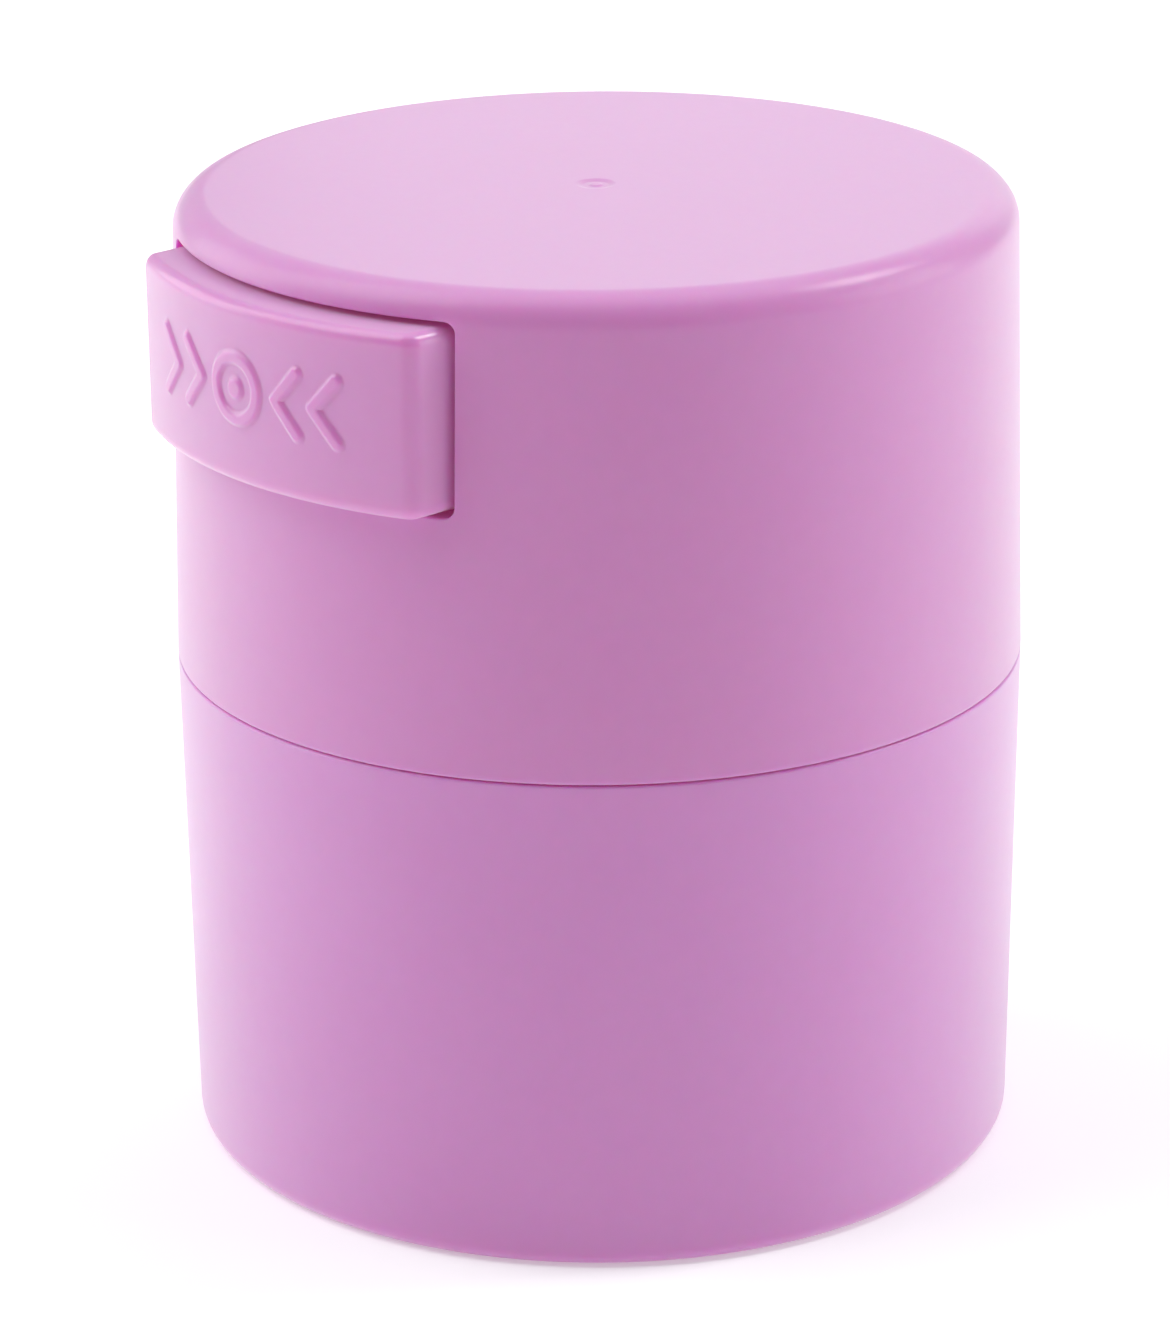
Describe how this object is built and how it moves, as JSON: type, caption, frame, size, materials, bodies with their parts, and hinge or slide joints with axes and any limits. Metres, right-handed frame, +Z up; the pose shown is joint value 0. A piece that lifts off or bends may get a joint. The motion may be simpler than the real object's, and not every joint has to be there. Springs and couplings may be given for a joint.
{
  "type": "airtight pill canister",
  "caption": "Round double-walled airtight pill canister: a deep cap telescopes over the pot's neck, and a sprung press button on the cap's side opens a vent to let air in or out.",
  "frame": {"origin": "on the pot's axis, at the level of the surface it stands on", "axes": "+Z up along the axis; the press button faces -Y and is pressed towards +Y; X is across the button"},
  "size_m": [0.064, 0.0663, 0.0732],
  "materials": {
    "pot_plastic": "pink ABS, satin gloss with a fine moulded surface",
    "inner_cup_plastic": "pink ABS, polished bore",
    "cap_plastic": "pink ABS, satin gloss with a fine moulded surface",
    "liner_plastic": "pink ABS, satin",
    "button_plastic": "pink ABS, satin gloss with a fine moulded surface",
    "seal_silicone": "milky silicone, soft sheen",
    "stopper_silicone": "milky silicone, soft sheen",
    "stem_acetal": "natural acetal, satin",
    "spring_steel": "bright spring wire"
  },
  "bodies": {
    "pot": {"pot_shell": "pot_plastic", "inner_cup": "inner_cup_plastic"},
    "seal": {"piston_seal": "seal_silicone"},
    "cap": {"cap_shell": "cap_plastic", "cap_liner": "liner_plastic", "return_spring": "spring_steel"},
    "button": {"press_button": "button_plastic", "valve_stem": "stem_acetal", "vent_stopper": "stopper_silicone"}
  },
  "joints": [
    {"name": "cap_lift", "type": "slide", "parent": "pot", "child": "seal", "axis": [0, 0, 1], "range_m": [0, 0.045]},
    {"name": "cap_twist", "type": "hinge", "parent": "seal", "child": "cap", "pos_m": [0, 0, 0.0529], "axis": [0, 0, 1], "continuous": true},
    {"name": "button_press", "type": "slide", "parent": "cap", "child": "button", "axis": [0, 1, 0], "range_m": [0, 0.0022], "stiffness_N_per_m": 600, "springref_m": -0.003, "deforming": ["return_spring"]}
  ]
}
